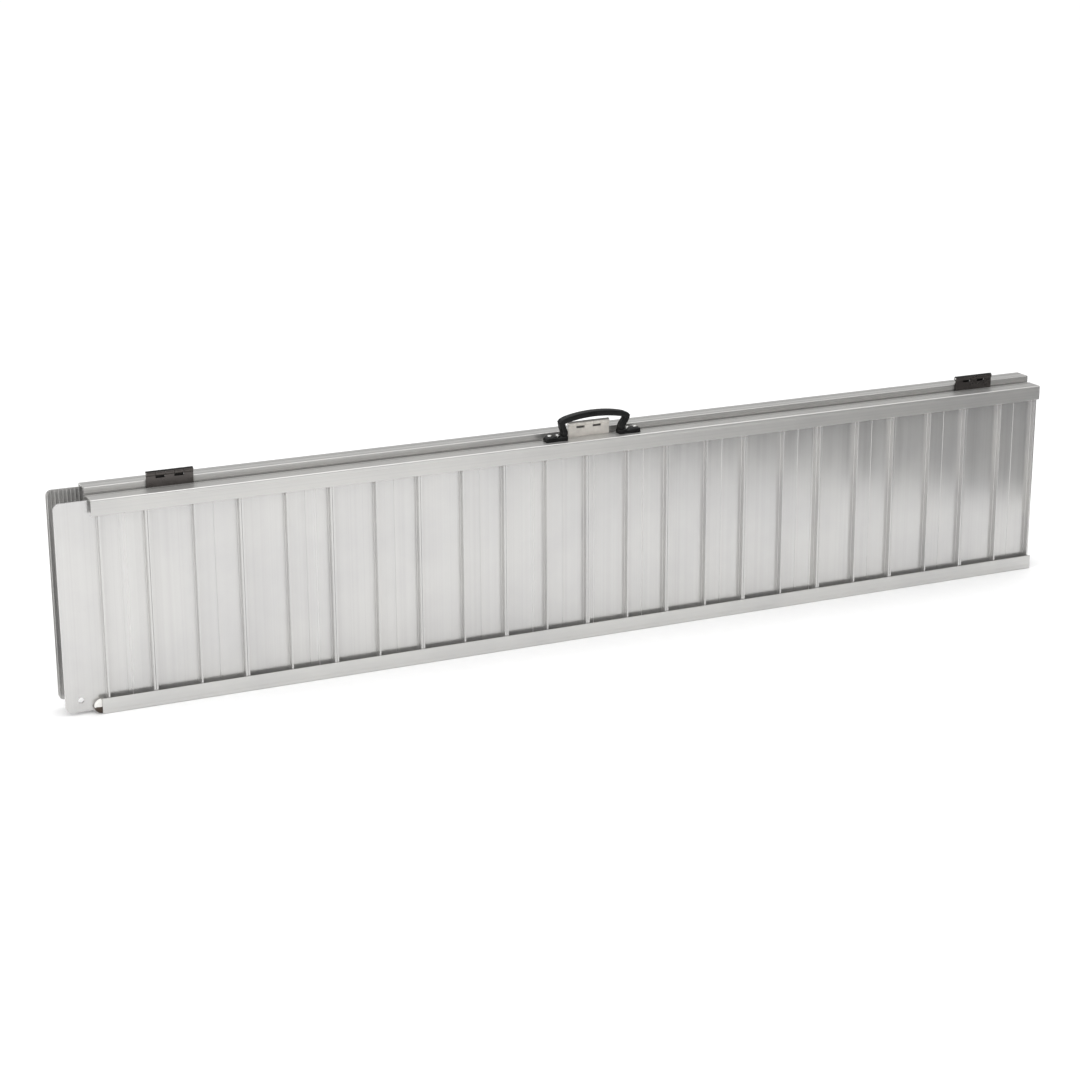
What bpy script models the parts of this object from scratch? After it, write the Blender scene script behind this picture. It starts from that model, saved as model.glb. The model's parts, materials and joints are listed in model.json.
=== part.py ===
"""Portable wheelchair ramp, folded in half along its length and standing on its two side rails.

Metres, +Z up. X runs along the ramp from its lip, Y is the hinge plane's normal, Z = 0 is the floor.
Each half is a row of twelve extruded planks held between two U-channel rails. The front half is at
-Y and the rear half at +Y. "Depth" is the distance from the hinge plane, the same in both halves.
"""

import math

import bmesh
import bpy
from mathutils import Vector

MM = 0.001
GAP = 0.3 * MM
FRONT, REAR = -1, 1

# Deck planks
PLANKS = 12
PLANK_PITCH = 152.4 * MM
SKIN = 2.4 * MM
EDGE_RIB = 3.4 * MM
MIDDLE_RIB = 3.0 * MM
PLANK_DEPTH = 12.6 * MM

# Rails
RAIL = 25.4 * MM
RAIL_DEPTH = 34.0 * MM
WALL = 2.5 * MM
RAIL_ROUND = 2.2 * MM
RAIL_OVERRUN = 3.6 * MM
HALF_TOP = {FRONT: 350.0 * MM, REAR: 361.0 * MM}

# Lip: the first plank's bare skin, ahead of the rails
LIP_REACH = 63.7 * MM
LIP_THICK = 3.0 * MM
LIP_CORNER = 10.0 * MM
LIP_SETBACK = 8.0 * MM
LIP_BOTTOM = {FRONT: 5.5 * MM, REAR: 13.5 * MM}
PIN_HOLE = 4.5 * MM
PIN_HOLE_IN = 33.4 * MM
PIN_HOLE_UP = 18.5 * MM

# Hinges
HINGE_X = {"left": -720.0 * MM, "centre": 10.0 * MM, "right": 789.0 * MM}
HINGE_Z = 371.5 * MM
LEAF_LENGTH = 76.2 * MM
LEAF_THICK = 1.8 * MM
LEAF_INNER = 0.2 * MM
LEAF_DROP = 38.1 * MM
KNUCKLES = 5
KNUCKLE_RADIUS = 4.4 * MM
KNUCKLE_SIDE_GAP = 0.2 * MM
PIN_RADIUS = 2.1 * MM
PIN_OVERHANG = 0.6 * MM
RIVET_RADIUS = 2.2 * MM
RIVET_HEAD = 3.8 * MM
RIVET_CONE = 1.4 * MM
RIVET_LENGTH = 4.4 * MM
RIVET_SPREAD = 25.0 * MM
RIVET_DROP = 31.0 * MM

# Carry handle
HANDLE_X = 10.0 * MM
HANDLE_DEPTH = 15.0 * MM
GRIP_WIDTH = 15.0 * MM
FOOT_WIDTH = 17.0 * MM
FOOT_INNER = 48.5 * MM
FOOT_OUTER = 88.0 * MM
FOOT_HEIGHT = 8.7 * MM
SCREW_REACH = (64.5 * MM, 79.5 * MM)
SCREW_RADIUS = 1.9 * MM
SCREW_HEAD = 3.9 * MM
SCREW_HEAD_HEIGHT = 2.3 * MM

# Domed bumper in the lip end of each side rail
BUMPER_REACH = 12.0 * MM
BUMPER_HEIGHT = 23.0 * MM
BUMPER_ROUND = 4.8 * MM
BUMPER_STEM = 7.0 * MM
BUMPER_CLEAR = 1.5 * MM

LEFT = -(PLANKS * PLANK_PITCH + RAIL_OVERRUN + LIP_SETBACK) / 2
RAIL_START = LEFT + LIP_REACH
RAIL_END = LEFT + PLANKS * PLANK_PITCH + RAIL_OVERRUN
RAIL_INNER = LEAF_INNER + LEAF_THICK + GAP
RAIL_OUTER = RAIL_INNER + RAIL_DEPTH
UNDERSIDE = RAIL_OUTER - WALL - GAP
TREAD = UNDERSIDE - PLANK_DEPTH
ARC_STEPS = 5
ROUND_STEPS = 16
TURNED_STEPS = 12
UPRIGHT = (0.0, 0.0, 0.0)
ALONG_X = (math.pi / 2, 0.0, math.pi / 2)
ALONG_Y = (math.pi / 2, 0.0, 0.0)


def clear_scene():
    for old in list(bpy.data.objects):
        bpy.data.objects.remove(old)


def collection(name):
    made = bpy.data.collections.new(name)
    bpy.context.scene.collection.children.link(made)
    return made


def material(name, colour, roughness, metallic):
    made = bpy.data.materials.new(name)
    made.use_nodes = True
    shader = made.node_tree.nodes["Principled BSDF"]
    shader.inputs["Base Color"].default_value = (*colour, 1.0)
    shader.inputs["Roughness"].default_value = roughness
    shader.inputs["Metallic"].default_value = metallic
    made.diffuse_color = (*colour, 1.0)
    return made


def rounded_outline(corners):
    """Points round a closed outline of (u, v, radius) corners. A radius above 0 becomes an arc."""
    points = []
    for index, (u, v, radius) in enumerate(corners):
        corner = Vector((u, v))
        if not radius:
            points.append(corner)
            continue
        back = (Vector(corners[index - 1][:2]) - corner).normalized()
        ahead = (Vector(corners[(index + 1) % len(corners)][:2]) - corner).normalized()
        half_angle = back.angle(ahead) / 2
        centre = corner + (back + ahead).normalized() * radius / math.sin(half_angle)
        start = corner + back * radius / math.tan(half_angle) - centre
        end = corner + ahead * radius / math.tan(half_angle) - centre
        spokes = [start.slerp(end, step / ARC_STEPS).normalized() for step in range(ARC_STEPS + 1)]
        points += [centre + spoke * radius for spoke in spokes]
    return points


def circle_outline(u, v, radius):
    turns = [2 * math.pi * step / ROUND_STEPS for step in range(ROUND_STEPS)]
    return [(u + radius * math.cos(turn), v + radius * math.sin(turn)) for turn in turns]


def extruded(name, outlines, turn, low, high):
    """A flat outline extruded from low to high along the axis that turn gives it, as a mesh object."""
    curve = bpy.data.curves.new(name, "CURVE")
    curve.dimensions = "2D"
    curve.fill_mode = "BOTH"
    curve.extrude = (high - low) / 2
    for outline in outlines:
        spline = curve.splines.new("POLY")
        spline.points.add(len(outline) - 1)
        for point, (u, v) in zip(spline.points, outline):
            point.co = (u, v, 0.0, 1.0)
        spline.use_cyclic_u = True
    shape = bpy.data.objects.new(name, curve)
    shape.rotation_euler = turn
    middle = (low + high) / 2
    shape.location = {UPRIGHT: (0, 0, middle), ALONG_X: (middle, 0, 0), ALONG_Y: (0, middle, 0)}[turn]
    parts.objects.link(shape)
    return meshed(shape)


def meshed(shape):
    """The mesh object that takes a curve object's place, with its caps welded to its sides."""
    bpy.context.view_layer.update()
    graph = bpy.context.evaluated_depsgraph_get()
    mesh = bpy.data.meshes.new_from_object(shape.evaluated_get(graph))
    shell = bmesh.new()
    shell.from_mesh(mesh)
    bmesh.ops.remove_doubles(shell, verts=shell.verts, dist=0.00001)
    bmesh.ops.recalc_face_normals(shell, faces=shell.faces)
    shell.to_mesh(mesh)
    shell.free()
    name = shape.name
    place = shape.matrix_world.copy()
    bpy.data.objects.remove(shape)
    solid = bpy.data.objects.new(name, mesh)
    solid.matrix_world = place
    parts.objects.link(solid)
    return solid


def box(name, low, high):
    """A box between two corners, with its scale in its mesh."""
    sides = [abs(b - a) for a, b in zip(low, high)]
    cube = bmesh.new()
    bmesh.ops.create_cube(cube, size=1.0)
    bmesh.ops.scale(cube, vec=sides, verts=cube.verts)
    mesh = bpy.data.meshes.new(name)
    cube.to_mesh(mesh)
    cube.free()
    solid = bpy.data.objects.new(name, mesh)
    solid.location = [(a + b) / 2 for a, b in zip(low, high)]
    parts.objects.link(solid)
    return solid


def cylinder(name, radius, low, high, y, z):
    """A round bar along X."""
    bar = bmesh.new()
    bmesh.ops.create_cone(
        bar, cap_ends=True, segments=ROUND_STEPS, radius1=radius, radius2=radius, depth=high - low
    )
    mesh = bpy.data.meshes.new(name)
    bar.to_mesh(mesh)
    bar.free()
    solid = bpy.data.objects.new(name, mesh)
    solid.rotation_euler = (0.0, math.pi / 2, 0.0)
    solid.location = ((low + high) / 2, y, z)
    parts.objects.link(solid)
    return solid


def turned(name, profile, location, tilt):
    """A turned solid: a profile of (radius, height), top first, swept round its own Z by a Screw."""
    mesh = bpy.data.meshes.new(name)
    points = [(radius, 0.0, height) for radius, height in profile]
    mesh.from_pydata(points, [(i, i + 1) for i in range(len(points) - 1)], [])
    solid = bpy.data.objects.new(name, mesh)
    screw = solid.modifiers.new("Screw", "SCREW")
    screw.steps = TURNED_STEPS
    screw.render_steps = TURNED_STEPS
    screw.use_merge_vertices = True
    screw.merge_threshold = 0.00001
    screw.use_smooth_shade = True
    solid.location = location
    solid.rotation_euler = (tilt, 0.0, 0.0)
    parts.objects.link(solid)
    return solid


def boolean(target, other, operation="DIFFERENCE"):
    """Cuts or joins target with other, which becomes a helper that isn't rendered."""
    step = target.modifiers.new(other.name, "BOOLEAN")
    step.operation = operation
    step.solver = "EXACT"
    step.object = other
    if other.name not in cutters.objects:
        parts.objects.unlink(other)
        cutters.objects.link(other)
        other.hide_render = True
        other.display_type = "WIRE"


def bevel(target, width, segments, angle=30.0):
    step = target.modifiers.new("Bevel", "BEVEL")
    step.width = width
    step.segments = segments
    step.limit_method = "ANGLE"
    step.angle_limit = math.radians(angle)


def finish(solid, paint):
    """Gives a solid its material, with smooth shading across its shallow edges."""
    solid.data.materials.clear()
    solid.data.materials.append(paint)
    solid.data.shade_smooth()
    solid.data.set_sharp_from_angle(angle=math.radians(35))


def plank_outline(left, side):
    """A plank's section: the tread skin, and a rib under each edge and under its middle."""
    start = left + GAP / 2
    end = left + PLANK_PITCH - GAP / 2
    middle = left + PLANK_PITCH / 2
    skin = TREAD + SKIN
    section = [
        (start, TREAD),
        (end, TREAD),
        (end, UNDERSIDE),
        (end - EDGE_RIB, UNDERSIDE),
        (end - EDGE_RIB, skin),
        (middle + MIDDLE_RIB / 2, skin),
        (middle + MIDDLE_RIB / 2, UNDERSIDE),
        (middle - MIDDLE_RIB / 2, UNDERSIDE),
        (middle - MIDDLE_RIB / 2, skin),
        (start + EDGE_RIB, skin),
        (start + EDGE_RIB, UNDERSIDE),
        (start, UNDERSIDE),
    ]
    return [(x, side * depth) for x, depth in section]


def lip_outline(side):
    """The first plank's section: no rib under its free edge, and a thicker skin ahead of the rails."""
    section = plank_outline(LEFT, side)[1:9]
    skin = side * (TREAD + SKIN)
    lip = side * (TREAD + LIP_THICK)
    step = RAIL_START - BUMPER_REACH - BUMPER_CLEAR
    start = LEFT + LIP_SETBACK
    return [(start, side * TREAD), *section, (step, skin), (step, lip), (start, lip)]


def lip_plank(name, side):
    """The first plank, trimmed to its rounded corners and pierced by its pin hole."""
    low = LIP_BOTTOM[side]
    high = HALF_TOP[side] - WALL - GAP
    start = LEFT + LIP_SETBACK
    end = LEFT + 2 * PLANK_PITCH
    plank = extruded(name, [lip_outline(side)], UPRIGHT, low - MM, high + MM)
    corners = [(start, low, LIP_CORNER), (end, low, 0), (end, high, 0), (start, high, LIP_CORNER)]
    hole = circle_outline(LEFT + PIN_HOLE_IN, low + PIN_HOLE_UP, PIN_HOLE)
    depths = sorted((side * (TREAD - MM), side * (UNDERSIDE + MM)))
    trim = extruded(f"{name}_trim", [rounded_outline(corners), hole], ALONG_Y, *depths)
    boolean(plank, trim, "INTERSECT")
    return plank


def plank(name, number, side):
    left = LEFT + (number - 1) * PLANK_PITCH
    outline = plank_outline(left, side)
    return extruded(name, [outline], UPRIGHT, WALL + GAP, HALF_TOP[side] - WALL - GAP)


def rail(name, side, web, tip):
    """A U-channel along X. Its web's outer face is at height web, and its legs end at height tip."""
    inward = math.copysign(WALL, tip - web)
    corners = [
        (RAIL_OUTER, tip, 0),
        (RAIL_OUTER, web, RAIL_ROUND),
        (RAIL_INNER, web, RAIL_ROUND / 2),
        (RAIL_INNER, tip, 0),
        (RAIL_INNER + WALL, tip, 0),
        (RAIL_INNER + WALL, web + inward, 0),
        (RAIL_OUTER - WALL, web + inward, 0),
        (RAIL_OUTER - WALL, tip, 0),
    ]
    outline = rounded_outline([(side * depth, z, radius) for depth, z, radius in corners])
    return extruded(name, [outline], ALONG_X, RAIL_START, RAIL_END)


def hinge_leaf(name, x, side, own_knuckles):
    """One leaf: a plate with its own knuckles, notched where the other leaf's knuckles turn."""
    start = x - LEAF_LENGTH / 2
    pitch = LEAF_LENGTH / KNUCKLES
    leaf = box(
        name,
        (start, side * LEAF_INNER, HINGE_Z - LEAF_DROP),
        (start + LEAF_LENGTH, side * (LEAF_INNER + LEAF_THICK), HINGE_Z - MM),
    )
    notch_floor = HINGE_Z - KNUCKLE_RADIUS - 2 * GAP
    for number in range(KNUCKLES):
        low = start + number * pitch
        high = low + pitch
        if number in own_knuckles:
            low += KNUCKLE_SIDE_GAP * (number > 0)
            high -= KNUCKLE_SIDE_GAP * (number < KNUCKLES - 1)
            knuckle = cylinder(f"{name}_knuckle_{number}", KNUCKLE_RADIUS, low, high, 0, HINGE_Z)
            boolean(leaf, knuckle, "UNION")
        else:
            low -= KNUCKLE_SIDE_GAP + MM * (number == 0)
            high += KNUCKLE_SIDE_GAP + MM * (number == KNUCKLES - 1)
            notch = box(f"{name}_notch_{number}", (low, -4 * MM, notch_floor), (high, 4 * MM, HINGE_Z))
            boolean(leaf, notch)
    bore = cylinder(f"{name}_bore", PIN_RADIUS + GAP, start - MM, start + LEAF_LENGTH + MM, 0, HINGE_Z)
    boolean(leaf, bore)
    return leaf


def rivet(name, x, side, leaf, rail_part):
    """A flush rivet through the leaf and the rail's inner wall, and the hole that it sits in."""
    shank = RIVET_RADIUS + GAP
    hole_profile = [
        (0.0, GAP),
        (RIVET_HEAD + 2 * GAP, GAP),
        (shank, -RIVET_CONE),
        (shank, -RIVET_LENGTH - 2 * GAP),
        (0.0, -RIVET_LENGTH - 2 * GAP),
    ]
    profile = [
        (0.0, 0.0),
        (RIVET_HEAD, 0.0),
        (RIVET_RADIUS, -RIVET_CONE),
        (RIVET_RADIUS, -RIVET_LENGTH),
        (0.0, -RIVET_LENGTH),
    ]
    place = (x, side * LEAF_INNER, HINGE_Z - RIVET_DROP)
    tilt = side * math.pi / 2
    hole = turned(f"{name}_hole", hole_profile, place, tilt)
    boolean(leaf, hole)
    boolean(rail_part, hole)
    return turned(name, profile, place, tilt)


def hinge(place, x, rails):
    """A butt hinge: two leaves closed face to face, their pin, and two rivets in each leaf."""
    front_set = [number for number in range(KNUCKLES) if number % 2 == 0]
    rear_set = [number for number in range(KNUCKLES) if number % 2]
    made = {FRONT: [], REAR: []}
    for word, side, own in (("front", FRONT, front_set), ("rear", REAR, rear_set)):
        leaf = hinge_leaf(f"hinge_{place}_{word}_leaf", x, side, own)
        finish(leaf, bright_steel if place == "centre" else dark_steel)
        made[side].append(leaf)
        for number, offset in ((1, -RIVET_SPREAD), (2, RIVET_SPREAD)):
            pin = rivet(f"hinge_{place}_{word}_rivet_{number}", x + offset, side, leaf, rails[side])
            finish(pin, zinc)
            made[side].append(pin)
    reach = LEAF_LENGTH / 2 + PIN_OVERHANG
    pin = cylinder(f"hinge_{place}_pin", PIN_RADIUS, x - reach, x + reach, 0, HINGE_Z)
    finish(pin, zinc)
    made[FRONT].append(pin)
    return made


def handle_grip():
    """The handle's flexible arch: legs that lean outwards, and a bowed grip across them."""
    foot_top = HALF_TOP[FRONT] + GAP + FOOT_HEIGHT + GAP
    crown = foot_top + 37.0 * MM
    half = [
        (57.0 * MM, foot_top, 0.0),
        (67.5 * MM, crown - 12.5 * MM, 5.0 * MM),
        (40.0 * MM, crown, 60.0 * MM),
    ]
    inner_half = [
        (38.0 * MM, crown - 8.6 * MM, 60.0 * MM),
        (57.0 * MM, crown - 18.0 * MM, 4.0 * MM),
        (50.5 * MM, foot_top, 0.0),
    ]
    outer = half + [(-x, z, radius) for x, z, radius in reversed(half)]
    inner = [(-x, z, radius) for x, z, radius in reversed(inner_half)] + inner_half
    outline = rounded_outline([(HANDLE_X + x, z, radius) for x, z, radius in outer + inner])
    depth = -HANDLE_DEPTH
    grip = extruded("handle_grip", [outline], ALONG_Y, depth - GRIP_WIDTH / 2, depth + GRIP_WIDTH / 2)
    bevel(grip, 2.4 * MM, 2, 50.0)
    return grip


def handle_foot(name, side_x, hinge_rail):
    """One of the handle's feet, with its two screws. side_x is -1 at the left and 1 at the right."""
    low = HALF_TOP[FRONT] + GAP
    high = low + FOOT_HEIGHT
    corners = [
        (FOOT_INNER, low, 0),
        (FOOT_OUTER, low, 0),
        (FOOT_OUTER, high, 4.5 * MM),
        (FOOT_INNER, high, 0),
    ]
    outline = rounded_outline([(HANDLE_X + side_x * x, z, radius) for x, z, radius in corners])
    depth = -HANDLE_DEPTH
    foot = extruded(name, [outline], ALONG_Y, depth - FOOT_WIDTH / 2, depth + FOOT_WIDTH / 2)
    bevel(foot, 1.5 * MM, 2, 50.0)
    made = [foot]
    shank_end = HALF_TOP[FRONT] - WALL + GAP
    for number, reach in enumerate(SCREW_REACH, 1):
        place = (HANDLE_X + side_x * reach, depth, high)
        hole_profile = [
            (0.0, MM),
            (SCREW_RADIUS + GAP, MM),
            (SCREW_RADIUS + GAP, shank_end - high - 2 * MM),
            (0.0, shank_end - high - 2 * MM),
        ]
        hole = turned(f"{name}_hole_{number}", hole_profile, place, 0.0)
        boolean(foot, hole)
        boolean(hinge_rail, hole)
        profile = [
            (0.0, GAP + SCREW_HEAD_HEIGHT),
            (SCREW_HEAD * 0.62, GAP + SCREW_HEAD_HEIGHT * 0.86),
            (SCREW_HEAD, GAP + SCREW_HEAD_HEIGHT * 0.3),
            (SCREW_HEAD, GAP),
            (SCREW_RADIUS, GAP),
            (SCREW_RADIUS, shank_end - high),
            (0.0, shank_end - high),
        ]
        screw = turned(name.replace("foot", "screw") + f"_{number}", profile, place, 0.0)
        finish(screw, zinc)
        made.append(screw)
    finish(foot, black)
    return made


def rail_bumper(name, side):
    """A domed plug in the lip end of a side rail: the dome outside it, and the stem in its channel."""
    outer = side * (RAIL_OUTER - 1.2 * MM)
    inner = side * (TREAD + LIP_THICK + GAP)
    dome = box(
        name,
        (RAIL_START - BUMPER_REACH, outer, 1.0 * MM),
        (RAIL_START - GAP, inner, 1.0 * MM + BUMPER_HEIGHT),
    )
    bevel(dome, BUMPER_ROUND, 3)
    stem = box(
        f"{name}_stem",
        (RAIL_START - 3 * MM, side * (UNDERSIDE - GAP), WALL + 2 * GAP),
        (RAIL_START + BUMPER_STEM, side * (TREAD + LIP_THICK + 2 * GAP), RAIL - 5 * MM),
    )
    boolean(dome, stem, "UNION")
    return dome


def half(word, side):
    """The planks, rails and bumper of one half. Returns them with the hinge rail apart."""
    top = HALF_TOP[side]
    hinge_rail = rail(f"{word}_hinge_rail", side, top, top - RAIL)
    side_rail = rail(f"{word}_side_rail", side, 0.0, RAIL)
    planks = [lip_plank(f"{word}_lip_plank", side)]
    planks += [plank(f"{word}_plank_{number:02d}", number, side) for number in range(2, PLANKS + 1)]
    for solid in (hinge_rail, side_rail, *planks):
        finish(solid, aluminium)
    bumper = rail_bumper(f"{word}_rail_bumper", side)
    finish(bumper, plastic)
    return hinge_rail, [side_rail, bumper, *planks]


def hang_from_axis(pieces):
    """Parents the rear half's pieces to an empty on the hinge axis, where they stand."""
    axis = bpy.data.objects.new("rear_half", None)
    axis.location = (0.0, 0.0, HINGE_Z)
    parts.objects.link(axis)
    bpy.context.view_layer.update()
    for piece in pieces:
        piece.parent = axis
        piece.matrix_parent_inverse = axis.matrix_world.inverted()


def build():
    front_hinge_rail, _ = half("front", FRONT)
    rear_hinge_rail, moving = half("rear", REAR)
    rails = {FRONT: front_hinge_rail, REAR: rear_hinge_rail}
    moving.append(rear_hinge_rail)
    for place, x in HINGE_X.items():
        moving += hinge(place, x, rails)[REAR]
    finish(handle_grip(), black)
    handle_foot("handle_foot_left", -1, front_hinge_rail)
    handle_foot("handle_foot_right", 1, front_hinge_rail)
    hang_from_axis(moving)


clear_scene()
parts = collection("portable_wheelchair_ramp")
cutters = collection("cutters")
aluminium = material("mill_aluminium", (0.72, 0.72, 0.71), 0.38, 1.0)
dark_steel = material("dark_hinge_steel", (0.16, 0.15, 0.14), 0.30, 1.0)
bright_steel = material("bright_hinge_steel", (0.82, 0.77, 0.68), 0.25, 1.0)
zinc = material("zinc_fastener", (0.60, 0.60, 0.60), 0.35, 1.0)
black = material("black_plastic", (0.012, 0.012, 0.013), 0.45, 0.0)
plastic = material("pale_plastic", (0.80, 0.79, 0.76), 0.25, 0.0)
build()
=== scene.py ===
import json
import math

import bmesh
import bpy
from mathutils import Matrix, Vector


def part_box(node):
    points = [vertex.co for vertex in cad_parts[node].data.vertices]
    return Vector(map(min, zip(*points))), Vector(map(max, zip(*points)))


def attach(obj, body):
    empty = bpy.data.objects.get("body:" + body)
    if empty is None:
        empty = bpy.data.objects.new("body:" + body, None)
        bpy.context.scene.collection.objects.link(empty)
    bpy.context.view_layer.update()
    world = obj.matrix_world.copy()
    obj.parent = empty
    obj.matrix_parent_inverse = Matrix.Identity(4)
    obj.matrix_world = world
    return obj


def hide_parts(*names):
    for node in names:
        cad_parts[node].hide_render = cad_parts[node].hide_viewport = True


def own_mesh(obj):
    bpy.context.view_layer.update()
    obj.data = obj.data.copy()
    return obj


# The looks of a portable wheelchair ramp that folds along its length. Every piece is built round the
# box of the CAD node that it replaces. "Depth" is the distance from the hinge plane, Y = 0, and
# "side" is -1 for the front half and 1 for the rear half. Lengths are in metres.

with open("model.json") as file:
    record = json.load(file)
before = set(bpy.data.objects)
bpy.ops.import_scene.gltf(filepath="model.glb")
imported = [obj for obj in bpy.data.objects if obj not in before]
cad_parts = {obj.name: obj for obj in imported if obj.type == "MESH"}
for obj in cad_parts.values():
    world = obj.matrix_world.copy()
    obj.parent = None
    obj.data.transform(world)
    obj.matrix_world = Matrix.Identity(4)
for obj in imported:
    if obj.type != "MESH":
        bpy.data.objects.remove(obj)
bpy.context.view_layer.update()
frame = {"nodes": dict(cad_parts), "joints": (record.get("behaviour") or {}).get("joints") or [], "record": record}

MM = 0.001
HALVES = {-1: "front", 1: "rear"}
HINGES = ("left", "centre", "right")
PLANKS = 12
HINGE_Z = frame["joints"][0]["pos_m"][2]


# ---------------------------------------------------------------- node materials


class Paint:
    """A Principled material and short calls that add nodes to it."""

    def __init__(self, name, colour, roughness, metallic=0.0, specular=0.5):
        self.material = bpy.data.materials.new(name)
        self.material.use_nodes = True
        self.tree = self.material.node_tree
        self.shader = self.tree.nodes["Principled BSDF"]
        self.shader.inputs["Base Color"].default_value = (*colour, 1.0)
        self.shader.inputs["Roughness"].default_value = roughness
        self.shader.inputs["Metallic"].default_value = metallic
        self.shader.inputs["Specular IOR Level"].default_value = specular

    def node(self, kind, **settings):
        made = self.tree.nodes.new(kind)
        for key, value in settings.items():
            setattr(made, key, value)
        return made

    def link(self, source, target):
        self.tree.links.new(source, target)

    def place(self, scale=(1.0, 1.0, 1.0)):
        """The surface's own coordinates in metres, stretched by scale."""
        coordinates = self.node("ShaderNodeTexCoord")
        mapping = self.node("ShaderNodeMapping")
        mapping.inputs["Scale"].default_value = scale
        self.link(coordinates.outputs["Object"], mapping.inputs["Vector"])
        return mapping.outputs["Vector"]

    def coordinate(self, axis):
        split = self.node("ShaderNodeSeparateXYZ")
        self.link(self.place(), split.inputs["Vector"])
        return split.outputs[axis]

    def noise(self, scale, stretch=(1.0, 1.0, 1.0), detail=4.0, roughness=0.6):
        texture = self.node("ShaderNodeTexNoise")
        texture.inputs["Scale"].default_value = scale
        texture.inputs["Detail"].default_value = detail
        texture.inputs["Roughness"].default_value = roughness
        self.link(self.place(stretch), texture.inputs["Vector"])
        return texture.outputs["Fac"]

    def ramp(self, source, stops):
        """A colour ramp. stops are (position, colour), where a colour may be one grey number."""
        node = self.node("ShaderNodeValToRGB")
        while len(node.color_ramp.elements) < len(stops):
            node.color_ramp.elements.new(1.0)
        for element, (position, colour) in zip(node.color_ramp.elements, stops):
            shade = colour if isinstance(colour, tuple) else (colour, colour, colour)
            element.position = position
            element.color = (*shade, 1.0)
        self.link(source, node.inputs["Fac"])
        return node.outputs["Color"]

    def map_range(self, source, low, high, to_low=0.0, to_high=1.0):
        """Source's range from low to high, mapped to the range from to_low to to_high."""
        node = self.node("ShaderNodeMapRange")
        node.inputs["From Min"].default_value = low
        node.inputs["From Max"].default_value = high
        node.inputs["To Min"].default_value = to_low
        node.inputs["To Max"].default_value = to_high
        self.link(source, node.inputs["Value"])
        return node.outputs["Result"]

    def spread(self, noise, low, high):
        """A noise's middle range, 0.3 to 0.7, mapped to the range from low to high."""
        return self.map_range(noise, 0.3, 0.7, low, high)

    def mix(self, first, second, factor, blend="MIX"):
        node = self.node("ShaderNodeMix", data_type="RGBA", blend_type=blend)
        if isinstance(factor, float):
            node.inputs["Factor"].default_value = factor
        else:
            self.link(factor, node.inputs["Factor"])
        for socket, value in ((node.inputs["A"], first), (node.inputs["B"], second)):
            if isinstance(value, tuple):
                socket.default_value = (*value, 1.0)
            else:
                self.link(value, socket)
        return node.outputs["Result"]

    def off_hinge_plane(self, near, far):
        """0 within near of the plane Y = 0, and 1 beyond far."""
        depth = self.node("ShaderNodeMath", operation="ABSOLUTE")
        self.link(self.coordinate("Y"), depth.inputs[0])
        return self.map_range(depth.outputs["Value"], near, far)

    def above(self, low, high):
        """0 below the height low, and 1 above the height high."""
        return self.map_range(self.coordinate("Z"), low, high)

    def colour(self, source):
        self.link(source, self.shader.inputs["Base Color"])

    def roughness(self, source):
        self.link(source, self.shader.inputs["Roughness"])

    def bump(self, source, strength, distance):
        """Adds a bump on top of any bump that is there already."""
        bump = self.node("ShaderNodeBump")
        bump.inputs["Strength"].default_value = strength
        bump.inputs["Distance"].default_value = distance
        self.link(source, bump.inputs["Height"])
        if self.shader.inputs["Normal"].is_linked:
            before = self.shader.inputs["Normal"].links[0].from_socket
            self.link(before, bump.inputs["Normal"])
        self.link(bump.outputs["Normal"], self.shader.inputs["Normal"])


# Noise features per metre across the extrusion, and along it.
LINES_ACROSS = 900.0
LINES_ALONG = 0.15
BANDS_ACROSS = 110.0
BANDS_ALONG = 0.06


def drawn_out(across, along, axis):
    """A noise stretch that is even across an extrusion and nearly constant along its axis."""
    stretch = [across, across, across]
    stretch[axis] = along
    return tuple(stretch)


def aluminium(name, axis, tone, gloss, smooth, rough):
    """Mill-finish aluminium with die lines along one axis, 0 for X or 2 for Z."""
    paint = Paint(name, tone, smooth, gloss)
    lines = paint.noise(1.0, drawn_out(LINES_ACROSS, LINES_ALONG, axis), detail=3.0, roughness=0.7)
    bands = paint.noise(1.0, drawn_out(BANDS_ACROSS, BANDS_ALONG, axis), detail=3.0, roughness=0.7)
    cloud = paint.noise(7.0)
    dull = tuple(channel * 0.95 for channel in tone)
    clean = tuple(min(1.0, channel * 1.03) for channel in tone)
    metal = paint.ramp(bands, [(0.34, dull), (0.50, tone), (0.66, clean)])
    smudge = paint.ramp(cloud, [(0.35, (0.94, 0.94, 0.945)), (0.60, (1.0, 1.0, 0.995))])
    streak = paint.ramp(lines, [(0.35, 0.95), (0.52, 1.0)])
    metal = paint.mix(paint.mix(metal, smudge, 1.0, "MULTIPLY"), streak, 1.0, "MULTIPLY")
    paint.colour(metal)
    paint.roughness(paint.spread(bands, smooth, rough))
    paint.bump(lines, 0.45, 0.1 * MM)
    paint.bump(bands, 0.15, 0.2 * MM)
    return paint.material


# Where the painted shade starts and ends: off the hinge plane, where the two leaves meet, and above the hinge
# axis, on the tops of the knuckles.
PAINTED_SHADE_DEPTH = (0.7 * MM, 1.3 * MM)
PAINTED_SHADE_HEIGHT = (HINGE_Z + 1.6 * MM, HINGE_Z + 3.2 * MM)


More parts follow.
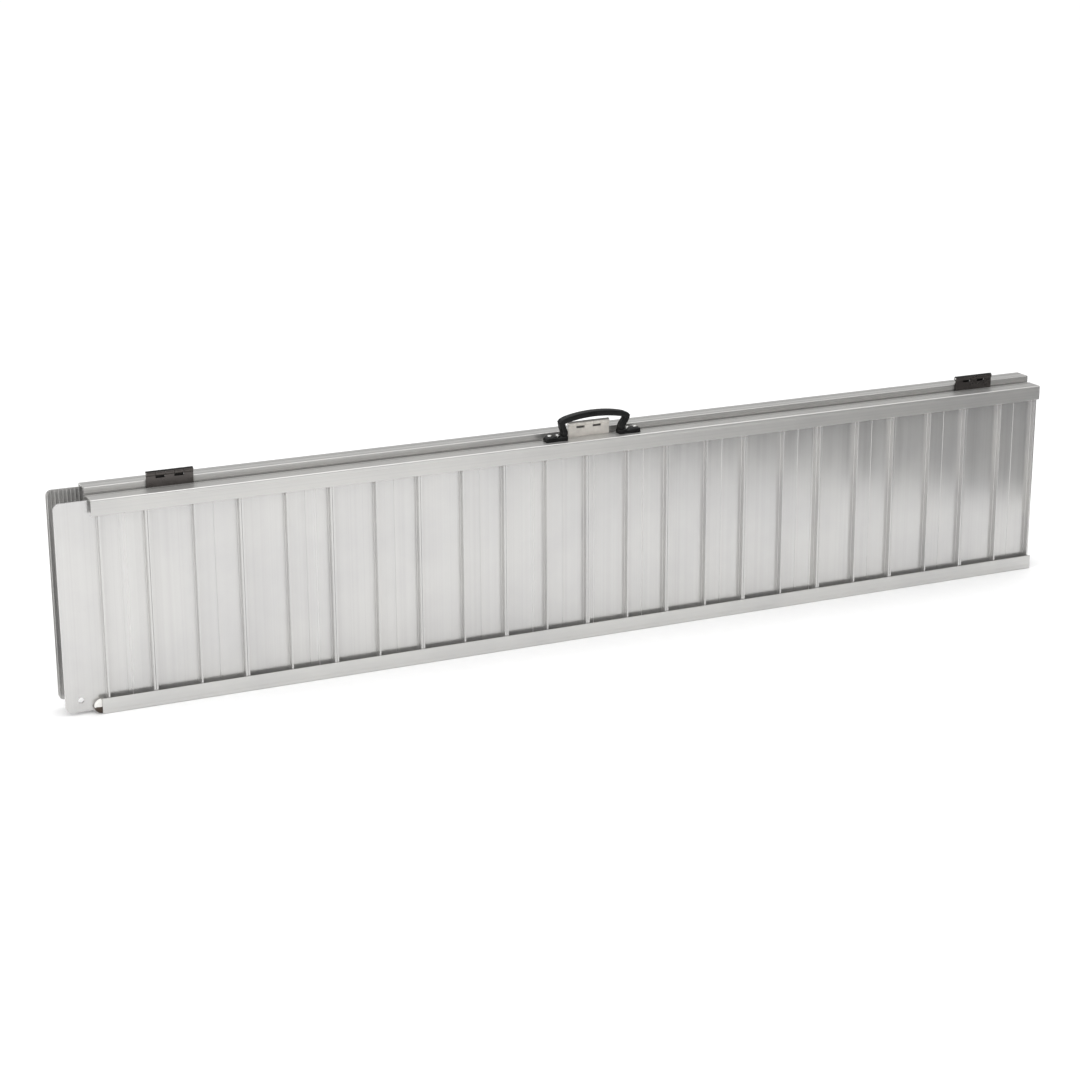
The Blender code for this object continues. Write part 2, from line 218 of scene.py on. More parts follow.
def hinge_steel(name, colour, roughness, gloss):
    """Rolled steel, stained in patches, with painted shade along the hinge plane where the leaves meet, and a
    painted dark reflection over the tops of the knuckles.
    """
    paint = Paint(name, colour, roughness, gloss)
    lines = paint.noise(1.0, (60.0, 900.0, 900.0), detail=3.0)
    stain = paint.noise(90.0, detail=5.0, roughness=0.65)
    dull = tuple(channel * 0.78 for channel in colour)
    # Painted shade: a near-black colour for the joint between the leaves, and a painted dark reflection on the
    # knuckles' tops.
    painted_shade = tuple(channel * 0.10 for channel in colour)
    steel = paint.mix(dull, colour, paint.spread(stain, 0.15, 1.0))
    # Painted shade where the two leaves face each other at the hinge plane.
    steel = paint.mix(painted_shade, steel, paint.off_hinge_plane(*PAINTED_SHADE_DEPTH))
    # Painted dark reflection over the tops of the knuckles.
    paint.colour(paint.mix(steel, painted_shade, paint.above(*PAINTED_SHADE_HEIGHT)))
    paint.roughness(paint.spread(stain, roughness * 0.8, roughness * 1.5))
    paint.bump(lines, 0.25, 0.05 * MM)
    return paint.material


def zinc_plate():
    paint = Paint("zinc_plate", (0.62, 0.62, 0.61), 0.3, 1.0)
    grain = paint.noise(700.0)
    paint.colour(paint.ramp(grain, [(0.3, (0.46, 0.46, 0.45)), (0.7, (0.68, 0.68, 0.66))]))
    paint.roughness(paint.spread(grain, 0.22, 0.42))
    paint.bump(grain, 0.15, 0.05 * MM)
    return paint.material


def black_plastic():
    """Moulded black plastic with a fine leathery grain, polished a little in patches."""
    paint = Paint("black_moulded_plastic", (0.005, 0.005, 0.005), 0.45, 0.0, 0.22)
    grain = paint.noise(1500.0, detail=2.0)
    wear = paint.noise(60.0)
    paint.colour(paint.ramp(wear, [(0.35, 0.003), (0.75, 0.009)]))
    paint.roughness(paint.spread(wear, 0.34, 0.52))
    paint.bump(grain, 0.35, 0.1 * MM)
    return paint.material


def bumper_plastic(name, pale, deep, roughness):
    paint = Paint(name, pale, roughness)
    grain = paint.noise(500.0, detail=3.0)
    paint.colour(paint.ramp(grain, [(0.35, deep), (0.65, pale)]))
    paint.roughness(paint.spread(grain, roughness * 0.8, roughness * 1.3))
    paint.bump(grain, 0.1, 0.08 * MM)
    return paint.material


def studio_card(name, shade, contrast, roughness, fibre_scale, detail):
    """Matt paper or card: an even grey with a faint fibre."""
    paint = Paint(name, (shade, shade, shade), roughness, 0.0, 0.1)
    fibre = paint.noise(fibre_scale, detail=detail)
    paint.colour(paint.ramp(fibre, [(0.3, shade - contrast), (0.7, shade + contrast)]))
    return paint.material


# ---------------------------------------------------------------- mesh building

SMOOTH_BELOW = math.radians(35.0)
BEVEL_ABOVE = math.radians(60.0)


def mesh_object(name, shape):
    """Puts a finished bmesh in a new object."""
    bmesh.ops.recalc_face_normals(shape, faces=shape.faces)
    mesh = bpy.data.meshes.new(name)
    shape.to_mesh(mesh)
    shape.free()
    made = bpy.data.objects.new(name, mesh)
    bpy.context.scene.collection.objects.link(made)
    return made


def rounded(corners, steps=4):
    """Points round a closed outline of (u, v) or (u, v, radius) corners."""
    points = []
    for index, corner in enumerate(corners):
        here = Vector(corner[:2])
        if len(corner) == 2:
            points.append(here)
            continue
        radius = corner[2]
        back = (Vector(corners[index - 1][:2]) - here).normalized()
        ahead = (Vector(corners[(index + 1) % len(corners)][:2]) - here).normalized()
        half_angle = back.angle(ahead) / 2
        centre = here + (back + ahead).normalized() * radius / math.sin(half_angle)
        start = here + back * radius / math.tan(half_angle) - centre
        end = here + ahead * radius / math.tan(half_angle) - centre
        spokes = [start.slerp(end, step / steps).normalized() for step in range(steps + 1)]
        points += [centre + spoke * radius for spoke in spokes]
    return points


def loft_rings(shape, rings):
    """Joins rings of the same number of vertices into one closed skin."""
    count = len(rings[0])
    for first, second in zip(rings, rings[1:]):
        for i in range(count):
            j = (i + 1) % count
            shape.faces.new((first[i], first[j], second[j], second[i]))
    shape.faces.new(reversed(rings[0]))
    shape.faces.new(rings[-1])


def prism(name, outline, axis, low, high):
    """An outline extruded along X, Y or Z. It is in the other two axes, in their order."""
    places = {
        "X": lambda u, v, w: (w, u, v),
        "Y": lambda u, v, w: (u, w, v),
        "Z": lambda u, v, w: (u, v, w),
    }
    place = places[axis]
    shape = bmesh.new()
    rings = [[shape.verts.new(place(u, v, w)) for u, v in outline] for w in (low, high)]
    loft_rings(shape, rings)
    return mesh_object(name, shape)


def lathe(name, profile, centre, direction, steps=32):
    """A turned solid. profile is (radius, height) from its foot to its head, along direction."""
    turn = Vector((0.0, 0.0, 1.0)).rotation_difference(Vector(direction)).to_matrix()
    shape = bmesh.new()
    rings = []
    for radius, height in profile:
        ring = []
        for step in range(steps):
            angle = 2 * math.pi * step / steps
            point = Vector((radius * math.cos(angle), radius * math.sin(angle), height))
            ring.append(shape.verts.new(turn @ point + Vector(centre)))
        rings.append(ring)
    loft_rings(shape, rings)
    return mesh_object(name, shape)


def oval(width, height, power, count=28):
    """Points round a superellipse, from a plain ellipse at power 2 to nearly a box at power 5."""
    points = []
    for step in range(count):
        angle = 2 * math.pi * step / count
        c, s = math.cos(angle), math.sin(angle)
        u = math.copysign(abs(c) ** (2 / power), c) * width / 2
        v = math.copysign(abs(s) ** (2 / power), s) * height / 2
        points.append((u, v))
    return points


def bake_modifiers(target):
    bpy.context.view_layer.update()
    graph = bpy.context.evaluated_depsgraph_get()
    mesh = bpy.data.meshes.new_from_object(target.evaluated_get(graph))
    target.modifiers.clear()
    target.data = mesh


def combine(target, other, operation):
    """Applies a Boolean with other to target's mesh, and removes other."""
    step = target.modifiers.new("combine", "BOOLEAN")
    step.operation = operation
    step.solver = "EXACT"
    step.object = other
    bake_modifiers(target)
    bpy.data.objects.remove(other)


def soften(target, width):
    """Bevels the edges that turn by more than BEVEL_ABOVE."""
    step = target.modifiers.new("soften", "BEVEL")
    step.width = width
    step.segments = 2
    step.limit_method = "ANGLE"
    step.angle_limit = BEVEL_ABOVE
    step.harden_normals = False
    bake_modifiers(target)


def flatten(target):
    """Shades smooth, but keeps large flat faces flat to the eye where a small rounded edge meets them."""
    target.data.shade_smooth()
    target.data.set_sharp_from_angle(angle=SMOOTH_BELOW)
    step = target.modifiers.new("flatten", "WEIGHTED_NORMAL")
    step.keep_sharp = True
    bake_modifiers(target)


def place_piece(piece, node, body, slot, *paints):
    """Gives a finished piece its materials, and says which node it replaces and what it rides on."""
    flatten(piece)
    piece.data.materials.clear()
    for paint in paints:
        piece.data.materials.append(paint)
    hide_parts(node)
    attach(piece, body)


def box_and_depths(node):
    """The low and high corners of a node's box, and its least and greatest depth."""
    low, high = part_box(node)
    near, far = sorted((abs(low.y), abs(high.y)))
    return low, high, near, far


# ---------------------------------------------------------------- deck planks

SKIN = 2.4 * MM
EDGE_RIB = 3.4 * MM
MIDDLE_RIB = 3.0 * MM
ROOT = 1.0 * MM
TIP = 0.5 * MM
SEAM_FROM_RIB = 33.0 * MM
SEAM_HALF = 0.6 * MM
SEAM_DEEP = 0.45 * MM
RIDGE_PITCH = 6.2 * MM
RIDGE_RISE = 0.7 * MM
RIDGE_FOOT = (0.30, 0.70)
RIDGE_TOP = (0.38, 0.62)


def right_ribs(end, middle, skin, tip):
    """A plank's underside in (x, depth), from its right edge to the left root of its middle rib."""
    seam = middle + SEAM_FROM_RIB
    right_root = middle + MIDDLE_RIB / 2
    left_root = middle - MIDDLE_RIB / 2
    return [
        (end, tip, TIP),
        (end - EDGE_RIB, tip, TIP),
        (end - EDGE_RIB, skin, ROOT),
        (seam + SEAM_HALF, skin),
        (seam, skin - SEAM_DEEP),
        (seam - SEAM_HALF, skin),
        (right_root, skin, ROOT),
        (right_root, tip, TIP),
        (left_root, tip, TIP),
        (left_root, skin, ROOT),
    ]


def left_rib(start, skin, tip):
    return [(start + EDGE_RIB, skin, ROOT), (start + EDGE_RIB, tip, TIP), (start, tip, TIP)]


def tread(start, end, face):
    """The walking side of a section, left to right: low flat-topped ridges that give grip."""
    count = int((end - start) / RIDGE_PITCH)
    pitch = (end - start) / count
    points = [(start, face)]
    for number in range(count):
        left = start + number * pitch
        points += [
            (left + pitch * RIDGE_FOOT[0], face),
            (left + pitch * RIDGE_TOP[0], face - RIDGE_RISE),
            (left + pitch * RIDGE_TOP[1], face - RIDGE_RISE),
            (left + pitch * RIDGE_FOOT[1], face),
        ]
    return points + [(end, face)]


def deck(node, side, section, low, high):
    """A section in (x, depth), extruded up the whole height of the box."""
    outline = [(u, side * v) for u, v in rounded(section)]
    return prism(f"{node}_deck", outline, "Z", low.z, high.z)


def plank(side, node):
    low, high, face, tip = box_and_depths(node)
    skin = face + SKIN
    ribs = right_ribs(high.x, (low.x + high.x) / 2, skin, tip) + left_rib(low.x, skin, tip)
    return deck(node, side, tread(low.x, high.x, face) + ribs, low, high)


LIP_THICK = 3.0 * MM
LIP_STEP = 13.5 * MM
LIP_CORNER = 10.0 * MM
LIP_RIM = 0.35 * MM
HOLE_RADIUS = 4.5 * MM
DRILL_REACH = 4.0 * MM
PLANK_WIDTH = 152.1 * MM


def pin_hole(word):
    """The x and z of the pin hole in a half's lip, from the opening that the record states."""
    openings = frame["record"]["physics"]["openings"]
    low, high = next(o["box_m"] for o in openings if o["name"] == f"lip_pin_hole_{word}")
    return (low[0] + high[0]) / 2, (low[2] + high[2]) / 2


def lip_plank(side, node):
    """The first plank. Its free end is a bare lip with rounded corners, a pin hole and a bevelled rim."""
    low, high, face, tip = box_and_depths(node)
    skin = face + SKIN
    lip = face + LIP_THICK
    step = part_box(f"{HALVES[side]}_side_rail")[0].x - LIP_STEP
    ribs = right_ribs(high.x, high.x - PLANK_WIDTH / 2, skin, tip)
    section = tread(low.x, high.x, face) + ribs + [(step, skin), (step, lip), (low.x, lip)]
    made = deck(node, side, section, low, high)
    keep = [
        (low.x, low.z, LIP_CORNER),
        (high.x + MM, low.z - MM),
        (high.x + MM, high.z + MM),
        (low.x, high.z, LIP_CORNER),
    ]
    near, far = sorted((side * (face - MM), side * (tip + MM)))
    combine(made, prism("lip_keep", rounded(keep, 10), "Y", near, far), "INTERSECT")
    hole_x, hole_z = pin_hole(HALVES[side])
    centre = (hole_x, side * (face + LIP_THICK / 2), hole_z)
    drill = [(HOLE_RADIUS, -DRILL_REACH), (HOLE_RADIUS, DRILL_REACH)]
    combine(made, lathe("drill", drill, centre, (0, 1, 0)), "DIFFERENCE")
    soften(made, LIP_RIM)
    return made


def build_planks(paints):
    for side, word in HALVES.items():
        pieces = {f"{word}_plank_{number:02d}": plank for number in range(2, PLANKS + 1)}
        pieces[f"{word}_lip_plank"] = lip_plank
        for node, build in pieces.items():
            place_piece(build(side, node), node, f"{word}_half", "mill_aluminium", paints["plank"])


# ---------------------------------------------------------------- rails

WALL = 2.5 * MM
WEB_OUTSIDE = 2.2 * MM
WEB_INSIDE = 0.8 * MM
BACK_CORNER = 1.1 * MM
LEG_TIP = 0.6 * MM
END_EDGE = 0.3 * MM
CREASE_FROM_WEB = 7.0 * MM
CREASE_HALF = 0.5 * MM
CREASE_DEEP = 0.25 * MM


def rail(side, node, hinge_side):
    """A U-channel with its web outwards, rounded outer corners and a faint die line down its face."""
    low, high, inner, outer = box_and_depths(node)
    web, tip = (high.z, low.z) if hinge_side else (low.z, high.z)
    toward = math.copysign(1.0, tip - web)
    crease = web + toward * CREASE_FROM_WEB
    section = [
        (outer, tip, LEG_TIP),
        (outer, crease + toward * CREASE_HALF),
        (outer - CREASE_DEEP, crease),
        (outer, crease - toward * CREASE_HALF),
        (outer, web, WEB_OUTSIDE),
        (inner, web, BACK_CORNER),
        (inner, tip, LEG_TIP),
        (inner + WALL, tip, LEG_TIP),
        (inner + WALL, web + toward * WALL, WEB_INSIDE),
        (outer - WALL, web + toward * WALL, WEB_INSIDE),
        (outer - WALL, tip, LEG_TIP),
    ]
    outline = [(side * u, v) for u, v in rounded(section, 5)]
    made = prism(f"{node}_channel", outline, "X", low.x, high.x)
    soften(made, END_EDGE)
    return made


def build_rails(paints):
    for side, word in HALVES.items():
        for kind in ("hinge", "side"):
            node = f"{word}_{kind}_rail"
            made = rail(side, node, kind == "hinge")
            place_piece(made, node, f"{word}_half", "mill_aluminium", paints[f"{kind}_rail"])


# ---------------------------------------------------------------- hinges

KNUCKLES = 5
KNUCKLE_RADIUS = 4.4 * MM
KNUCKLE_GAP = 0.2 * MM
KNUCKLE_EDGE = 0.35 * MM
BORE_RADIUS = 2.4 * MM
PIN_EDGE = 0.5 * MM
LEAF_CORNER = 3.0 * MM
SLOT_HEIGHT = 3.3 * MM
NOTCH_REACH = 4.0 * MM


def axis_bar(name, radius, low, high, chamfer):
    """A round bar along X on the hinge axis, with chamfered ends."""
    profile = [
        (radius - chamfer, low),
        (radius, low + chamfer),
        (radius, high - chamfer),
        (radius - chamfer, high),
    ]
    return lathe(name, profile, (0.0, 0.0, HINGE_Z), (1, 0, 0), 40)


def leaf_plate(node, side):
    """The flat of a leaf, as thick and as far from the hinge plane as the CAD leaf's lower edge."""
    low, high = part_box(node)
    cad = frame["nodes"][node].data.vertices
    plate_y = [abs(v.co.y) for v in cad if v.co.z < low.z + MM]
    near, far = sorted((side * min(plate_y), side * max(plate_y)))
    corners = [
        (low.x, low.z, LEAF_CORNER),
        (high.x, low.z, LEAF_CORNER),
        (high.x, HINGE_Z - MM),
        (low.x, HINGE_Z - MM),
    ]
    return prism(f"{node}_plate", rounded(corners, 6), "Y", near, far)


def hinge_leaf(side, node, first_knuckle):
    """A leaf with its rolled knuckles. first_knuckle is 0 on a front leaf and 1 on a rear leaf."""
    leaf = leaf_plate(node, side)
    low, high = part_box(node)
    pitch = (high.x - low.x) / KNUCKLES
    floor = HINGE_Z - KNUCKLE_RADIUS - SLOT_HEIGHT
    for number in range(KNUCKLES):
        left = low.x + number * pitch
        right = left + pitch
        at_left = number == 0
        at_right = number == KNUCKLES - 1
        if number % 2 == first_knuckle:
            left += 0.0 if at_left else KNUCKLE_GAP
            right -= 0.0 if at_right else KNUCKLE_GAP
            combine(leaf, axis_bar("knuckle", KNUCKLE_RADIUS, left, right, KNUCKLE_EDGE), "UNION")
        else:
            left -= KNUCKLE_GAP + (MM if at_left else 0.0)
            right += KNUCKLE_GAP + (MM if at_right else 0.0)
            window = [(left, floor), (right, floor), (right, HINGE_Z), (left, HINGE_Z)]
            combine(leaf, prism("notch", window, "Y", -NOTCH_REACH, NOTCH_REACH), "DIFFERENCE")
    bore = axis_bar("bore", BORE_RADIUS, low.x - MM, high.x + MM, 0.1 * MM)
    combine(leaf, bore, "DIFFERENCE")
    return leaf


def rivet(node, side):
    """A flush countersunk rivet with a shallow ring round its head."""
    low, high, near, far = box_and_depths(node)
    centre = (low + high) / 2
    radius = (high.x - low.x) / 2
    profile = [
        (radius * 0.58, near - far),
        (radius * 0.58, -1.4 * MM),
        (radius, -0.15 * MM),
        (radius * 0.97, 0.0),
        (radius * 0.72, 0.0),
        (radius * 0.68, -0.12 * MM),
        (radius * 0.60, 0.0),
        (radius * 0.02, 0.0),
    ]
    return lathe(f"{node}_flush", profile, (centre.x, side * near, centre.z), (0, -side, 0), 28)


def hinge_pin(node):
    low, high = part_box(node)
    return axis_bar(f"{node}_bar", (high.z - low.z) / 2, low.x, high.x, PIN_EDGE)


def build_hinges(paints):
    for place in HINGES:
        tone = "bright_hinge_steel" if place == "centre" else "dark_hinge_steel"
        for side, word in HALVES.items():
            body = f"{word}_half"
            node = f"hinge_{place}_{word}_leaf"
            leaf = hinge_leaf(side, node, 0 if side < 0 else 1)
            place_piece(leaf, node, body, tone, paints[tone])
            for number in (1, 2):
                node = f"hinge_{place}_{word}_rivet_{number}"
                place_piece(rivet(node, side), node, body, "zinc_fastener", paints["zinc"])
        node = f"hinge_{place}_pin"
        place_piece(hinge_pin(node), node, "front_half", "zinc_fastener", paints["zinc"])


# ---------------------------------------------------------------- carry handle

GRIP_THICK = 10.8 * MM
GRIP_POWER = 4.5
GRIP_LEAN = 3.2 * MM
LEAN_HEIGHT = 20.0 * MM
SHOULDER_THINNING = 0.12
MIDDLE_NARROWING = 0.06


def smooth_path(points, steps):
    """Points along a Catmull-Rom curve through a list of points."""
    ends = [points[0] * 2 - points[1], *points, points[-1] * 2 - points[-2]]
    path = []
    for i in range(1, len(ends) - 2):
        before, a, b, after = ends[i - 1 : i + 3]
        for step in range(steps):
            t = step / steps
            path.append(
                0.5
                * (
                    2 * a
                    + (b - before) * t
                    + (2 * before - 5 * a + 4 * b - after) * t * t
                    + (3 * a - before - 3 * b + after) * t * t * t
                )
            )
    return path + [ends[-2]]


def grip_path(low, high, centre_x):
    """The arch's centre line in (x, z). It leans to the right by GRIP_LEAN above its legs."""
    reach = (high.x - low.x) / 2
    top = high.z - GRIP_THICK / 2
    half = [
        (53.5 * MM, low.z),
        (54.3 * MM, low.z + 6.0 * MM),
        (58.2 * MM, low.z + 13.5 * MM),
        (reach - 5.2 * MM, low.z + 21.4 * MM),
        (reach - 5.5 * MM, low.z + 22.2 * MM),
        (50.0 * MM, top - 5.4 * MM),
        (26.0 * MM, top - 1.4 * MM),
    ]
    left = [Vector((centre_x - x, z)) for x, z in half]
    right = [Vector((centre_x + x, z)) for x, z in half]
    path = smooth_path(left + [Vector((centre_x, top))] + right[::-1], 7)
    for point in path:
        point.x += GRIP_LEAN * min(1.0, (point.y - low.z) / LEAN_HEIGHT)
    return path


def handle_grip(node, centre_x):
    """The arch: a flat oval strap that rises from the feet, turns over two shoulders and bows across."""
    low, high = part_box(node)
    centre_y = (low.y + high.y) / 2
    width = high.y - low.y
    reach = (high.x - low.x) / 2
    path = grip_path(low, high, centre_x)
    shape = bmesh.new()
    rings = []
    for index, point in enumerate(path):
        before = path[max(index - 1, 0)]
        after = path[min(index + 1, len(path) - 1)]
        along = (after - before).normalized()
        normal = Vector((-along.y, along.x))
        if index in (0, len(path) - 1):
            normal = Vector((math.copysign(1.0, normal.x), 0.0))
        share = min(1.0, abs(point.x - centre_x) / reach)
        thick = GRIP_THICK * (1.0 - SHOULDER_THINNING * share**3)
        wide = width * (1.0 - MIDDLE_NARROWING * (1.0 - share) ** 2)
        ring = []
        for u, v in oval(wide, thick, GRIP_POWER):
            spot = point + normal * v
            ring.append(shape.verts.new((spot.x, centre_y + u, spot.y)))
        rings.append(ring)
    loft_rings(shape, rings)
    return mesh_object(f"{node}_arch", shape)


# Shares of a foot's length from its inner end, and of its full width and height there.
FOOT_STATIONS = [
    (0.00, 0.90, 0.90),
    (0.03, 0.98, 0.98),
    (0.22, 1.00, 1.00),
    (0.31, 0.92, 0.93),
    (0.38, 0.84, 0.74),
    (0.50, 0.84, 0.74),
    (0.57, 0.92, 0.93),
    (0.66, 1.00, 1.00),
    (0.90, 1.00, 1.00),
    (0.96, 0.94, 0.92),
    (1.00, 0.80, 0.76),
]
FOOT_POWER = 3.6
WELD_DISTANCE = 0.001 * MM


def handle_foot(node, centre_x):
    """A low pad with a collar at its inner end, a waist and a raised boss at its outer end."""
    low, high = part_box(node)
    centre_y = (low.y + high.y) / 2
    width = high.y - low.y
    height = high.z - low.z
    outward = 1.0 if (low.x + high.x) / 2 > centre_x else -1.0
    inner = low.x if outward > 0 else high.x
    length = high.x - low.x
    shape = bmesh.new()
    rings = []
    for share, wide, tall in FOOT_STATIONS:
        x = inner + outward * share * length
        ring = []
        for u, v in oval(width * wide, 2 * height * tall, FOOT_POWER):
            ring.append(shape.verts.new((x, centre_y + u, low.z + max(0.0, v))))
        rings.append(ring)
    loft_rings(shape, rings)
    bmesh.ops.remove_doubles(shape, verts=shape.verts, dist=WELD_DISTANCE)
    return mesh_object(f"{node}_pad", shape)


SHANK_RADIUS = 1.9 * MM
HEAD_HEIGHT = 2.3 * MM
RECESS_ARM = 0.55
RECESS_SLOT = 0.13
RECESS_DEPTH = 0.6


def pan_screw(node):
    """A pan-head screw with a cross recess."""
    low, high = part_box(node)
    centre = (low + high) / 2
    radius = (high.x - low.x) / 2
    neck = high.z - low.z - HEAD_HEIGHT
    profile = [
        (SHANK_RADIUS, 0.0),
        (SHANK_RADIUS, neck),
        (radius, neck),
        (radius, neck + HEAD_HEIGHT * 0.30),
        (radius * 0.93, neck + HEAD_HEIGHT * 0.58),
        (radius * 0.76, neck + HEAD_HEIGHT * 0.82),
        (radius * 0.45, neck + HEAD_HEIGHT * 0.97),
        (radius * 0.05, neck + HEAD_HEIGHT),
    ]
    screw = lathe(f"{node}_pan", profile, (centre.x, centre.y, low.z), (0, 0, 1))
    arm = radius * RECESS_ARM
    slot = radius * RECESS_SLOT
    floor = high.z - HEAD_HEIGHT * RECESS_DEPTH
    for reach_x, reach_y in ((arm, slot), (slot, arm)):
        window = [
            (centre.x - reach_x, centre.y - reach_y),
            (centre.x + reach_x, centre.y - reach_y),
            (centre.x + reach_x, centre.y + reach_y),
            (centre.x - reach_x, centre.y + reach_y),
        ]
        combine(screw, prism("recess", window, "Z", floor, high.z + MM), "DIFFERENCE")
    return screw


def build_handle(paints):
    low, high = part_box("handle_grip")
    centre_x = (low.x + high.x) / 2
    grip = handle_grip("handle_grip", centre_x)
    place_piece(grip, "handle_grip", "front_half", "black_plastic", paints["black"])
    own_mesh(grip)
    for word in ("left", "right"):
        node = f"handle_foot_{word}"
        foot = handle_foot(node, centre_x)
        place_piece(foot, node, "front_half", "black_plastic", paints["black"])
        for number in (1, 2):
            node = f"handle_screw_{word}_{number}"
            place_piece(pan_screw(node), node, "front_half", "zinc_fastener", paints["zinc"])


# ---------------------------------------------------------------- rail bumpers

DOME_STEPS = 10
DOME_POWER = 2.8
DOME_TIP = 0.05
STEM_DEPTH = 8.0 * MM
STEM_HEIGHT = 16.0 * MM
MOUTH_GAP = 0.3 * MM
# Below this share of the bumper's height the dome is painted dark, as a painted reflection.
PAINTED_DARK_SHARE = 0.46


def bumper(node, mouth):
    """A domed plug, bulging to the left of the rail's mouth, on a stem inside its channel."""
    low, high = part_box(node)
    centre = (low + high) / 2
    depth = high.y - low.y
    height = high.z - low.z
    stations = []
    for step in range(DOME_STEPS + 1):
        angle = math.pi / 2 * step / DOME_STEPS
        size = max(math.sin(angle), DOME_TIP)
        stations.append((mouth - (mouth - low.x) * math.cos(angle), depth * size, height * size))
    stations += [(mouth, STEM_DEPTH, STEM_HEIGHT), (high.x, STEM_DEPTH, STEM_HEIGHT)]
    shape = bmesh.new()
    rings = []
    for x, wide, tall in stations:
        points = oval(wide, tall, DOME_POWER, 40)
        rings.append([shape.verts.new((x, centre.y + u, centre.z + v)) for u, v in points])
    loft_rings(shape, rings)
    return mesh_object(f"{node}_dome", shape)


def build_bumpers(paints):
    """Both bumpers, pale above and dark below: a painted reflection, bright where a glossy dome would mirror the
    white room and dark on its underside.
    """
    for word in HALVES.values():
        node = f"{word}_rail_bumper"
        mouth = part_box(f"{word}_side_rail")[0].x - MOUTH_GAP
        made = bumper(node, mouth)
        place_piece(made, node, f"{word}_half", "pale_plastic", paints["pale"], paints["painted_dark_underside"])
        low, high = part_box(node)
        painted_dark_top = low.z + (high.z - low.z) * PAINTED_DARK_SHARE
        # Painted reflection: faces below the line get the dark material, and faces above it the pale one.
        for face in made.data.polygons:
            face.material_index = int(face.center.z < painted_dark_top)


# ---------------------------------------------------------------- studio

# Shades of the room from straight down, at 0, to straight up, at 1.
ROOM_SHADES = [(0.0, 0.18), (0.30, 0.19), (0.62, 0.66), (1.0, 1.0)]
ROOM_STRENGTH = 1.7
FLOOR_HALF = 60.0
FLAG_NEAR = (0.43, -1.254)
FLAG_FAR = (1.60, -0.009)
FLAG_HEIGHT = 0.9
CAMERA_PLACE = (-1.7088, -3.5172, 1.3537)
CAMERA_YAW = math.radians(24.84)
CAMERA_PITCH = math.radians(16.91)
CAMERA_ROLL = math.radians(0.21)
CAMERA_LENS = 79.54
CAMERA_SENSOR = 36.0
RIGHT_ANGLE = math.radians(90.0)


def area_light(name, place, target, size, watts):
    data = bpy.data.lights.new(name, "AREA")
    data.shape = "RECTANGLE"
    data.size, data.size_y = size
    data.energy = watts
    made = bpy.data.objects.new(name, data)
    made.location = place
    made.rotation_euler = (Vector(target) - Vector(place)).to_track_quat("-Z", "Y").to_euler()
    bpy.context.scene.collection.objects.link(made)


def studio_world():
    """A white room: brightest overhead, greyer low down behind the object."""
    world = bpy.data.worlds.new("studio")
    world.use_nodes = True
    bpy.context.scene.world = world
    tree = world.node_tree
    background = tree.nodes["Background"]
    coordinates = tree.nodes.new("ShaderNodeTexCoord")
    split = tree.nodes.new("ShaderNodeSeparateXYZ")
    ramp = tree.nodes.new("ShaderNodeValToRGB")
    while len(ramp.color_ramp.elements) < len(ROOM_SHADES):
        ramp.color_ramp.elements.new(1.0)
    for element, (position, shade) in zip(ramp.color_ramp.elements, ROOM_SHADES):
        element.position = position
        element.color = (shade, shade, shade, 1.0)
    tree.links.new(coordinates.outputs["Generated"], split.inputs["Vector"])
    tree.links.new(split.outputs["Z"], ramp.inputs["Fac"])
    tree.links.new(ramp.outputs["Color"], background.inputs["Color"])
    background.inputs["Strength"].default_value = ROOM_STRENGTH


def studio_floor():
    shape = bmesh.new()
    bmesh.ops.create_grid(shape, x_segments=1, y_segments=1, size=FLOOR_HALF)
    floor = mesh_object("studio_floor", shape)
    floor.data.materials.append(studio_card("studio_paper", 0.9325, 0.0075, 0.75, 40.0, 4.0))


def studio_flag():
    """A grey card out of view on the right, which darkens what the right-hand planks reflect."""
    outline = [(*FLAG_NEAR, 0.0), (*FLAG_FAR, 0.0), (*FLAG_FAR, FLAG_HEIGHT), (*FLAG_NEAR, FLAG_HEIGHT)]
    shape = bmesh.new()
    shape.faces.new([shape.verts.new(corner) for corner in outline])
    card = mesh_object("studio_flag", shape)
    card.data.materials.append(studio_card("studio_card", 0.27, 0.02, 0.8, 30.0, 3.0))
    card.visible_camera = False
    card.visible_shadow = False
    card.visible_diffuse = False


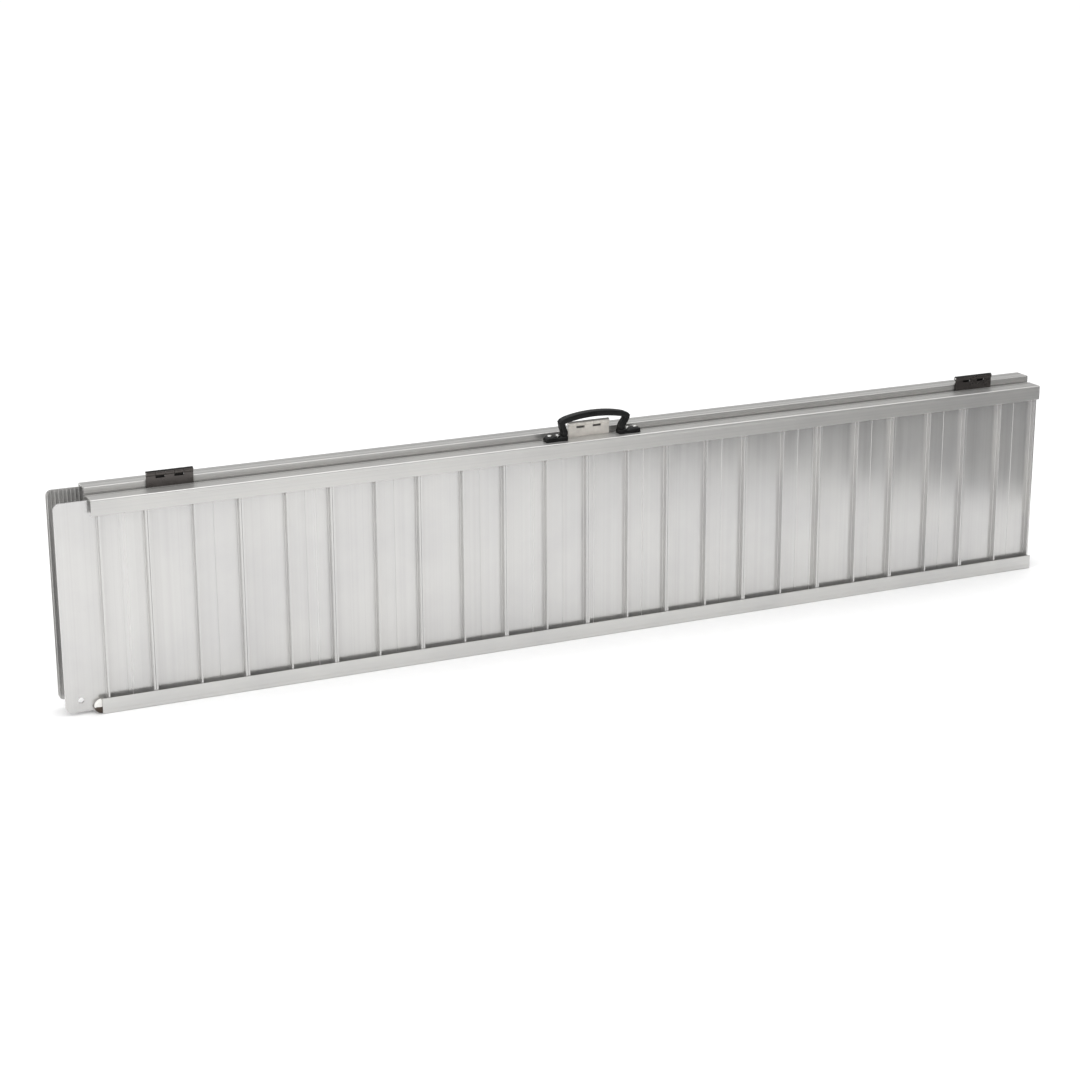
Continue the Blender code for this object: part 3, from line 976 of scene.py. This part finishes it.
def studio_camera():
    data = bpy.data.cameras.new("camera")
    data.lens = CAMERA_LENS
    data.sensor_width = CAMERA_SENSOR
    data.clip_start = 0.1
    data.clip_end = 200.0
    made = bpy.data.objects.new("camera", data)
    yaw = Matrix.Rotation(-CAMERA_YAW, 4, "Z")
    pitch = Matrix.Rotation(RIGHT_ANGLE - CAMERA_PITCH, 4, "X")
    roll = Matrix.Rotation(-CAMERA_ROLL, 4, "Z")
    made.matrix_world = Matrix.Translation(CAMERA_PLACE) @ yaw @ pitch @ roll
    bpy.context.scene.collection.objects.link(made)
    bpy.context.scene.camera = made


def build_studio():
    studio_world()
    studio_floor()
    studio_flag()
    area_light("overhead", (0.2, -0.4, 3.4), (0.0, -0.2, 0.0), size=(4.5, 3.0), watts=24.0)
    area_light("front_fill", (-2.6, -3.2, 2.4), (0.0, 0.0, 0.2), size=(2.5, 2.0), watts=10.0)
    area_light("left_softbox", (-4.2, -0.9, 1.5), (0.0, 0.0, 0.2), size=(1.6, 2.2), watts=46.0)
    studio_camera()
    bpy.context.scene.view_settings.view_transform = "Standard"


# ---------------------------------------------------------------- the ramp

ALONG_X = 0
ALONG_Z = 2

all_paints = {
    "plank": aluminium("plank_aluminium", ALONG_Z, (0.605, 0.600, 0.590), 0.70, 0.17, 0.28),
    "side_rail": aluminium("side_rail_aluminium", ALONG_X, (0.650, 0.645, 0.632), 0.72, 0.32, 0.46),
    "hinge_rail": aluminium("hinge_rail_aluminium", ALONG_X, (0.580, 0.574, 0.560), 0.70, 0.24, 0.38),
    "dark_hinge_steel": hinge_steel("dark_hinge_steel_finish", (0.11, 0.10, 0.095), 0.28, 0.9),
    "bright_hinge_steel": hinge_steel("bright_hinge_steel_finish", (1.0, 0.955, 0.89), 0.36, 0.20),
    "zinc": zinc_plate(),
    "black": black_plastic(),
    # Painted reflection: the bumper's pale top and dark underside stand in for a glossy dome's bright and dark
    # reflections.
    "pale": bumper_plastic("bumper_painted_bright_reflection", (0.80, 0.79, 0.76), (0.74, 0.73, 0.70), 0.25),
    "painted_dark_underside": bumper_plastic("bumper_painted_dark_reflection", (0.045, 0.025, 0.012), (0.03, 0.016, 0.008), 0.45),
}
build_planks(all_paints)
build_rails(all_paints)
build_hinges(all_paints)
build_handle(all_paints)
build_bumpers(all_paints)
build_studio()
